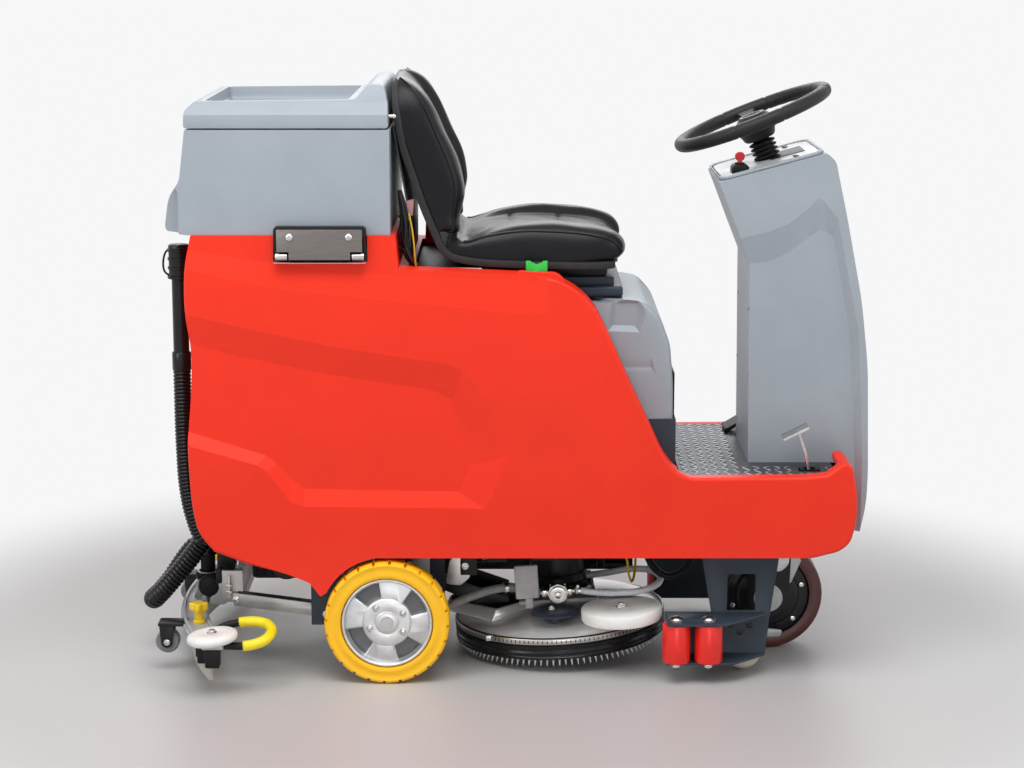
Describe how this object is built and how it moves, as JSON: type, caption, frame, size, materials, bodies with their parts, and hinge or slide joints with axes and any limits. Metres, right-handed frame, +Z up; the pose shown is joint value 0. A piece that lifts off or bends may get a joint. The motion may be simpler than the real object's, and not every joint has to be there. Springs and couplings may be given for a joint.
{
  "type": "ride-on floor scrubber",
  "caption": "Ride-on floor scrubber dryer with a driver's seat, steering wheel, tilting recovery tank, lowering brush deck and rear squeegee.",
  "frame": {"origin": "on the floor under the middle of the whole machine", "axes": "+X is the front of the machine, +Z is up, -Y is the driver's right"},
  "size_m": [1.5527, 0.824, 1.2455],
  "materials": {
    "red_body": "satin moulded",
    "grey_cover": "satin moulded",
    "dark_plastic": "matt moulded",
    "black_plastic": "matt moulded",
    "red_plastic": "smooth",
    "green_plastic": "smooth",
    "yellow_plastic": "smooth",
    "dash_white": "satin film",
    "white_nylon": "turned",
    "bristle": "bristles",
    "clear_hose": "braided hose",
    "dark_steel": "powder coat",
    "black_steel": "satin paint",
    "grey_steel": "powder coat",
    "bare_steel": "machined",
    "stainless": "polished",
    "tread_plate": "lens pattern",
    "cast_aluminium": "cast",
    "rubber": "ribbed",
    "blade_rubber": "cut sheet",
    "yellow_tyre": "moulded tread",
    "drive_tyre": "turned",
    "seat_vinyl": "grained vinyl"
  },
  "bodies": {
    "chassis": {"body_shell": "red_body", "chassis_frame": "dark_steel", "foot_plate": "tread_plate", "seat_box": "grey_cover", "kick_panel": "dark_steel", "rear_panel": "dark_plastic", "battery_pack": "black_plastic", "hinge_bracket": "black_steel", "column_cover": "grey_cover", "dash_panel": "dash_white", "steering_boot": "rubber", "rear_axle": "bare_steel", "front_guard_right": "dark_steel", "front_guard_left": "dark_steel", "deck_actuator": "black_steel", "seat_rail": "dark_steel", "drain_hose": "rubber", "suction_hose": "rubber"},
    "tank": {"recovery_tank": "grey_cover", "vacuum_motor": "black_plastic", "hinge_leaf": "stainless"},
    "lid": {"tank_lid": "grey_cover"},
    "seat": {"seat_shell": "black_plastic", "seat_back": "seat_vinyl", "seat_cushion": "seat_vinyl"},
    "steering": {"steering_wheel": "black_plastic", "steering_shaft": "bare_steel"},
    "switch": {"direction_switch": "red_plastic"},
    "brake": {"brake_pedal": "stainless"},
    "accelerator": {"accelerator_pedal": "rubber"},
    "tap": {"water_tap": "green_plastic"},
    "fork": {"drive_fork": "black_steel"},
    "drive_wheel": {"drive_tyre": "drive_tyre", "drive_motor": "black_steel"},
    "deck": {"brush_deck": "stainless", "deck_skirt": "rubber", "brush_motor": "black_steel", "feed_valve": "bare_steel", "feed_hose": "clear_hose"},
    "brush": {"disc_brush": "bristle"},
    "deck_wall_roller": {"deck_roller": "white_nylon"},
    "arm": {"squeegee_arm": "grey_steel"},
    "squeegee": {"squeegee_head": "cast_aluminium", "squeegee_blade": "blade_rubber"},
    "rear_wheel_right": {"rear_tyre_right": "yellow_tyre", "rear_rim_right": "cast_aluminium"},
    "bumper_right_rear": {"bumper_roller_right_rear": "red_plastic"},
    "bumper_right_front": {"bumper_roller_right_front": "red_plastic"},
    "anti_tip_right": {"anti_tip_roller_right": "white_nylon"},
    "caster_right": {"squeegee_caster_right": "rubber"},
    "end_roll_right": {"end_roller_right": "white_nylon"},
    "knob_right": {"squeegee_knob_right": "yellow_plastic"},
    "rear_wheel_left": {"rear_tyre_left": "yellow_tyre", "rear_rim_left": "cast_aluminium"},
    "bumper_left_rear": {"bumper_roller_left_rear": "red_plastic"},
    "bumper_left_front": {"bumper_roller_left_front": "red_plastic"},
    "anti_tip_left": {"anti_tip_roller_left": "white_nylon"},
    "caster_left": {"squeegee_caster_left": "rubber"},
    "end_roll_left": {"end_roller_left": "white_nylon"},
    "knob_left": {"squeegee_knob_left": "yellow_plastic"}
  },
  "joints": [
    {"name": "tank_tilt", "type": "hinge", "parent": "chassis", "child": "tank", "pos_m": [-0.231, -0.283, 0.895], "axis": [1, 0, 0], "range_deg": [0, 85]},
    {"name": "lid_hinge", "type": "hinge", "parent": "tank", "child": "lid", "pos_m": [-0.231, 0.252, 1.149], "axis": [-1, 0, 0], "range_deg": [0, 95]},
    {"name": "seat_slide", "type": "slide", "parent": "chassis", "child": "seat", "axis": [1, 0, 0], "range_m": [0, 0.1]},
    {"name": "drive_steer", "type": "hinge", "parent": "chassis", "child": "fork", "pos_m": [0.582, 0, 0.262], "axis": [0, 0, 1], "range_deg": [-60, 60]},
    {"name": "steering_turn", "type": "hinge", "parent": "chassis", "child": "steering", "pos_m": [0.534, 0, 1.152], "axis": [-0.3681, 0, 0.9298], "range_deg": [-180, 180]},
    {"name": "drive_spin", "type": "hinge", "parent": "fork", "child": "drive_wheel", "pos_m": [0.582, 0, 0.12], "axis": [0, 1, 0], "continuous": true},
    {"name": "switch_turn", "type": "hinge", "parent": "chassis", "child": "switch", "pos_m": [0.501, -0.085, 1.06], "axis": [0, 0, 1], "range_deg": [-45, 45]},
    {"name": "brake_press", "type": "hinge", "parent": "chassis", "child": "brake", "pos_m": [0.642, -0.2, 0.412], "axis": [0, 1, 0], "range_deg": [0, 12], "stiffness_Nm_per_rad": 8, "springref_deg": -14.32},
    {"name": "accelerator_press", "type": "hinge", "parent": "chassis", "child": "accelerator", "pos_m": [0.507, 0.19, 0.4433], "axis": [0, 1, 0], "range_deg": [0, 12], "stiffness_Nm_per_rad": 6, "springref_deg": -14.32},
    {"name": "tap_turn", "type": "hinge", "parent": "chassis", "child": "tap", "pos_m": [0.078, -0.245, 0.8545], "axis": [0, 0, 1], "range_deg": [0, 90]},
    {"name": "deck_lower", "type": "hinge", "parent": "chassis", "child": "deck", "pos_m": [-0.131, 0, 0.16], "axis": [0, 1, 0], "range_deg": [0, 3.5]},
    {"name": "brush_spin", "type": "hinge", "parent": "deck", "child": "brush", "pos_m": [0.13224, 0, 0.06589], "axis": [-0.061, 0, 0.9981], "continuous": true},
    {"name": "deck_roller_spin", "type": "hinge", "parent": "deck", "child": "deck_wall_roller", "pos_m": [0.25894, -0.2, 0.12374], "axis": [-0.061, 0, 0.9981], "continuous": true},
    {"name": "squeegee_lower", "type": "hinge", "parent": "chassis", "child": "arm", "pos_m": [-0.361, 0, 0.118], "axis": [0, -1, 0], "range_deg": [0, 6.5], "deforming": ["suction_hose"]},
    {"name": "squeegee_level", "type": "hinge", "parent": "arm", "child": "squeegee", "pos_m": [-0.576, 0, 0.145], "axis": [0, -1, 0], "range_deg": [-6.5, 0]},
    {"name": "rear_spin_right", "type": "hinge", "parent": "chassis", "child": "rear_wheel_right", "pos_m": [-0.231, 0, 0.13], "axis": [0, 1, 0], "continuous": true},
    {"name": "bumper_spin_right_rear", "type": "hinge", "parent": "chassis", "child": "bumper_right_rear", "pos_m": [0.369, -0.278, 0.09], "axis": [0, 0, 1], "continuous": true},
    {"name": "bumper_spin_right_front", "type": "hinge", "parent": "chassis", "child": "bumper_right_front", "pos_m": [0.436, -0.278, 0.09], "axis": [0, 0, 1], "continuous": true},
    {"name": "anti_tip_spin_right", "type": "hinge", "parent": "chassis", "child": "anti_tip_right", "pos_m": [0.516, 0, 0.0425], "axis": [0, 1, 0], "continuous": true},
    {"name": "caster_spin_right", "type": "hinge", "parent": "squeegee", "child": "caster_right", "pos_m": [-0.699, -0.19, 0.065], "axis": [0, 1, 0], "continuous": true},
    {"name": "end_roller_spin_right", "type": "hinge", "parent": "squeegee", "child": "end_roll_right", "pos_m": [-0.581, -0.36, 0.104], "axis": [-0.1045, 0, 0.9945], "continuous": true},
    {"name": "knob_turn_right", "type": "hinge", "parent": "squeegee", "child": "knob_right", "pos_m": [-0.631, -0.2, 0.106], "axis": [0, 0, 1], "continuous": true},
    {"name": "rear_spin_left", "type": "hinge", "parent": "chassis", "child": "rear_wheel_left", "pos_m": [-0.231, 0, 0.13], "axis": [0, 1, 0], "continuous": true},
    {"name": "bumper_spin_left_rear", "type": "hinge", "parent": "chassis", "child": "bumper_left_rear", "pos_m": [0.369, 0.278, 0.09], "axis": [0, 0, 1], "continuous": true},
    {"name": "bumper_spin_left_front", "type": "hinge", "parent": "chassis", "child": "bumper_left_front", "pos_m": [0.436, 0.278, 0.09], "axis": [0, 0, 1], "continuous": true},
    {"name": "anti_tip_spin_left", "type": "hinge", "parent": "chassis", "child": "anti_tip_left", "pos_m": [0.516, 0, 0.0425], "axis": [0, 1, 0], "continuous": true},
    {"name": "caster_spin_left", "type": "hinge", "parent": "squeegee", "child": "caster_left", "pos_m": [-0.699, 0.19, 0.065], "axis": [0, 1, 0], "continuous": true},
    {"name": "end_roller_spin_left", "type": "hinge", "parent": "squeegee", "child": "end_roll_left", "pos_m": [-0.581, 0.36, 0.104], "axis": [-0.1045, 0, 0.9945], "continuous": true},
    {"name": "knob_turn_left", "type": "hinge", "parent": "squeegee", "child": "knob_left", "pos_m": [-0.631, 0.2, 0.106], "axis": [0, 0, 1], "continuous": true}
  ],
  "couplings": [
    {"joint": "steering_turn", "follows": "drive_steer", "ratio": 3},
    {"joint": "squeegee_level", "follows": "squeegee_lower", "ratio": -1}
  ]
}
